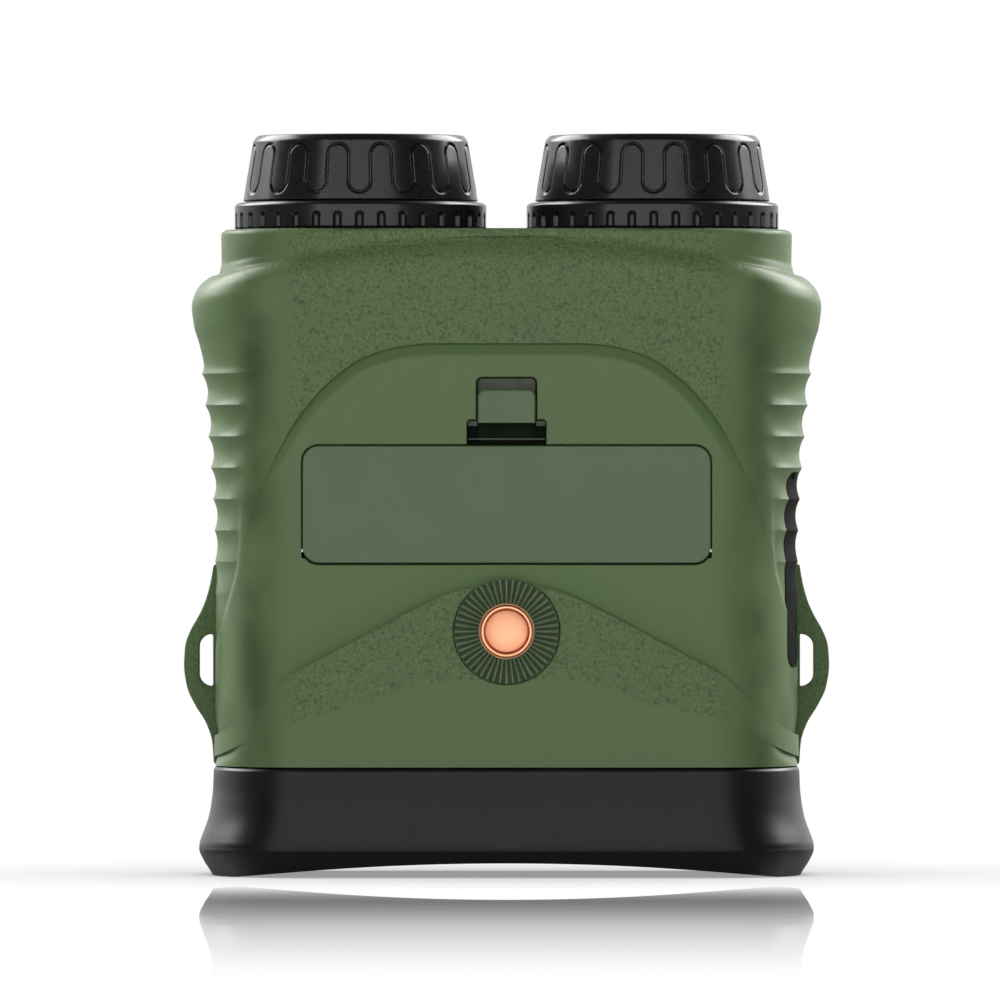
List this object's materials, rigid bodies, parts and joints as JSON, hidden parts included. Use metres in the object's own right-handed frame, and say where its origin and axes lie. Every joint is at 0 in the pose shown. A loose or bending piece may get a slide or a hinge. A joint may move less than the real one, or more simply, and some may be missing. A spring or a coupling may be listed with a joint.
{
  "type": "laser rangefinder",
  "caption": "Handheld two-eye digital laser rangefinder with focus rings, a wide rubber eye hood, a hinged battery door, a tripod socket and strap lugs.",
  "frame": {"origin": "centre of the footprint of the eye hood's rim, the plane the object stands on with its objectives up", "axes": "+Z along the optical axis from the eye hood to the objectives, -Y out of the underside (battery door and tripod socket), +Y out of the top side (buttons), +X towards the port cover, the user's left"},
  "size_m": [0.1384, 0.064, 0.159],
  "materials": {
    "body_green": "olive-green polymer, smooth panels and fine leather-grain panels",
    "door_green": "olive-green polymer with a fine grain",
    "rubber_black": "satin black rubber",
    "plastic_black": "matte black",
    "button_black": "silicone keypad, satin black",
    "anodised_black": "black anodised, bead blasted",
    "steel": "stainless",
    "nickel": "nickel plated",
    "copper": "turned copper-coloured metal",
    "lens_glass": "coated optical glass",
    "screen": "dark gloss",
    "circuit_board": "green solder mask",
    "cell_wrap": "blue shrink wrap"
  },
  "bodies": {
    "housing": {"bottom_shell": "body_green", "top_shell": "body_green", "left_strap_lug": "body_green", "right_strap_lug": "body_green", "tripod_pad": "body_green", "eye_hood": "rubber_black", "front_plate": "plastic_black", "eyepiece_frame": "plastic_black", "display_frame": "plastic_black", "battery_tray": "plastic_black", "latch_guide": "plastic_black", "left_barrel": "anodised_black", "right_barrel": "anodised_black", "laser_tube": "anodised_black", "housing_screw_1": "steel", "housing_screw_2": "steel", "housing_screw_3": "steel", "housing_screw_4": "steel", "door_hinge_pin": "steel", "usb_port": "steel", "card_slot": "steel", "laser_diode": "nickel", "laser_detector": "nickel", "contact_spring": "nickel", "positive_contact": "nickel", "tripod_insert": "copper", "laser_window": "lens_glass", "magnifier_lens": "lens_glass", "display_panel": "screen", "image_sensor": "screen", "main_board": "circuit_board", "button_board": "circuit_board", "port_board": "circuit_board", "sensor_board": "circuit_board", "detector_board": "circuit_board", "battery_cell": "cell_wrap"},
    "left_focus": {"left_focus_ring": "anodised_black"},
    "right_focus": {"right_focus_ring": "anodised_black"},
    "left_lock": {"left_lock_ring": "anodised_black"},
    "right_lock": {"right_lock_ring": "anodised_black"},
    "left_lens": {"left_lens_cell": "plastic_black", "left_front_lens": "lens_glass", "left_lens_retainer": "plastic_black", "left_focus_pin": "steel"},
    "right_lens": {"right_lens_cell": "plastic_black", "right_front_lens": "lens_glass", "right_lens_retainer": "plastic_black", "right_focus_pin": "steel"},
    "door": {"battery_door": "door_green", "door_seal": "rubber_black"},
    "latch": {"door_latch": "door_green"},
    "cover": {"port_cover": "rubber_black"},
    "power_key": {"power_button": "button_black"},
    "measure_key": {"measure_button": "button_black"},
    "menu_key": {"menu_button": "button_black"},
    "mode_key": {"mode_button": "button_black"},
    "zoom_in_key": {"zoom_in_button": "button_black"},
    "zoom_out_key": {"zoom_out_button": "button_black"}
  },
  "joints": [
    {"name": "left_focus_turn", "type": "hinge", "parent": "housing", "child": "left_focus", "pos_m": [0.0313, 0, 0.15], "axis": [0, 0, 1], "range_deg": [-70, 70]},
    {"name": "left_lens_travel", "type": "slide", "parent": "housing", "child": "left_lens", "axis": [0, 0, 1], "range_m": [-0.0015, 0.0015]},
    {"name": "left_lock_turn", "type": "hinge", "parent": "housing", "child": "left_lock", "pos_m": [0.0313, 0, 0.141], "axis": [0, 0, 1], "range_deg": [0, 40]},
    {"name": "right_focus_turn", "type": "hinge", "parent": "housing", "child": "right_focus", "pos_m": [-0.0313, 0, 0.15], "axis": [0, 0, 1], "range_deg": [-70, 70]},
    {"name": "right_lens_travel", "type": "slide", "parent": "housing", "child": "right_lens", "axis": [0, 0, 1], "range_m": [-0.0015, 0.0015]},
    {"name": "right_lock_turn", "type": "hinge", "parent": "housing", "child": "right_lock", "pos_m": [-0.0313, 0, 0.141], "axis": [0, 0, 1], "range_deg": [0, 40]},
    {"name": "door_hinge", "type": "hinge", "parent": "housing", "child": "door", "pos_m": [0, -0.03, 0.0696], "axis": [1, 0, 0], "range_deg": [0, 95]},
    {"name": "latch_slide", "type": "slide", "parent": "housing", "child": "latch", "axis": [0, 0, 1], "range_m": [0, 0.0022], "stiffness_N_per_m": 400, "springref_m": -0.001},
    {"name": "cover_hinge", "type": "hinge", "parent": "housing", "child": "cover", "pos_m": [0.0619, -0.012, 0.0458], "axis": [0, 1, 0], "range_deg": [0, 110]},
    {"name": "power_press", "type": "slide", "parent": "housing", "child": "power_key", "axis": [0, -1, 0], "range_m": [0, 0.0009], "stiffness_N_per_m": 800, "springref_m": -0.0006},
    {"name": "measure_press", "type": "slide", "parent": "housing", "child": "measure_key", "axis": [0, -1, 0], "range_m": [0, 0.0009], "stiffness_N_per_m": 800, "springref_m": -0.0006},
    {"name": "menu_press", "type": "slide", "parent": "housing", "child": "menu_key", "axis": [0, -1, 0], "range_m": [0, 0.0009], "stiffness_N_per_m": 800, "springref_m": -0.0006},
    {"name": "mode_press", "type": "slide", "parent": "housing", "child": "mode_key", "axis": [0, -1, 0], "range_m": [0, 0.0009], "stiffness_N_per_m": 800, "springref_m": -0.0006},
    {"name": "zoom_in_press", "type": "slide", "parent": "housing", "child": "zoom_in_key", "axis": [0, -1, 0], "range_m": [0, 0.0009], "stiffness_N_per_m": 800, "springref_m": -0.0006},
    {"name": "zoom_out_press", "type": "slide", "parent": "housing", "child": "zoom_out_key", "axis": [0, -1, 0], "range_m": [0, 0.0009], "stiffness_N_per_m": 800, "springref_m": -0.0006}
  ],
  "couplings": [
    {"joint": "left_focus_turn", "follows": "left_lens_travel", "rad_per_m": 814.48},
    {"joint": "right_focus_turn", "follows": "right_lens_travel", "rad_per_m": 814.48}
  ]
}
